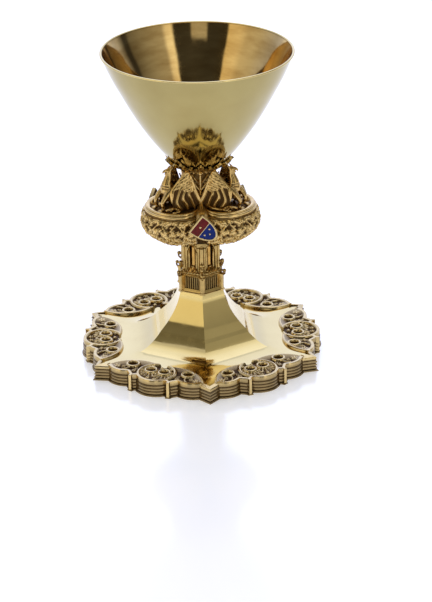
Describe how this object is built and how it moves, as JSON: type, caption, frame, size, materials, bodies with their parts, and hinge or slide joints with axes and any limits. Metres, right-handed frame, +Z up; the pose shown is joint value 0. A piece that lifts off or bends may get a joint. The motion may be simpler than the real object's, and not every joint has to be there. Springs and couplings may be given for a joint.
{
  "type": "chalice",
  "caption": "Gilt chalice with a flared bowl, a lobed knop with winged beasts, a tower-like stem and a star-shaped foot with scroll plates.",
  "frame": {"origin": "on the table, under the axis of the chalice", "axes": "+Z up along the axis, one star point of the foot towards -Y"},
  "size_m": [0.1618, 0.1722, 0.2098],
  "materials": {
    "polished_gilt": "mirror polished pale gold",
    "aged_gilt": "cast gold with dark patina in the recesses",
    "enamel": "glossy red and blue enamel in a pale gold border"
  },
  "bodies": {
    "root": {"foot_rim": "aged_gilt", "foot": "polished_gilt", "scroll_plate_1": "aged_gilt", "scroll_plate_2": "aged_gilt", "scroll_plate_3": "aged_gilt", "scroll_plate_4": "aged_gilt", "scroll_plate_5": "aged_gilt", "scroll_plate_6": "aged_gilt", "gallery": "aged_gilt", "stem": "aged_gilt", "knop": "aged_gilt", "beast_1": "aged_gilt", "beast_2": "aged_gilt", "beast_3": "aged_gilt", "shield_1": "enamel", "shield_2": "enamel", "shield_3": "enamel", "neck": "aged_gilt", "calyx": "aged_gilt", "bowl": "polished_gilt"}
  },
  "joints": []
}
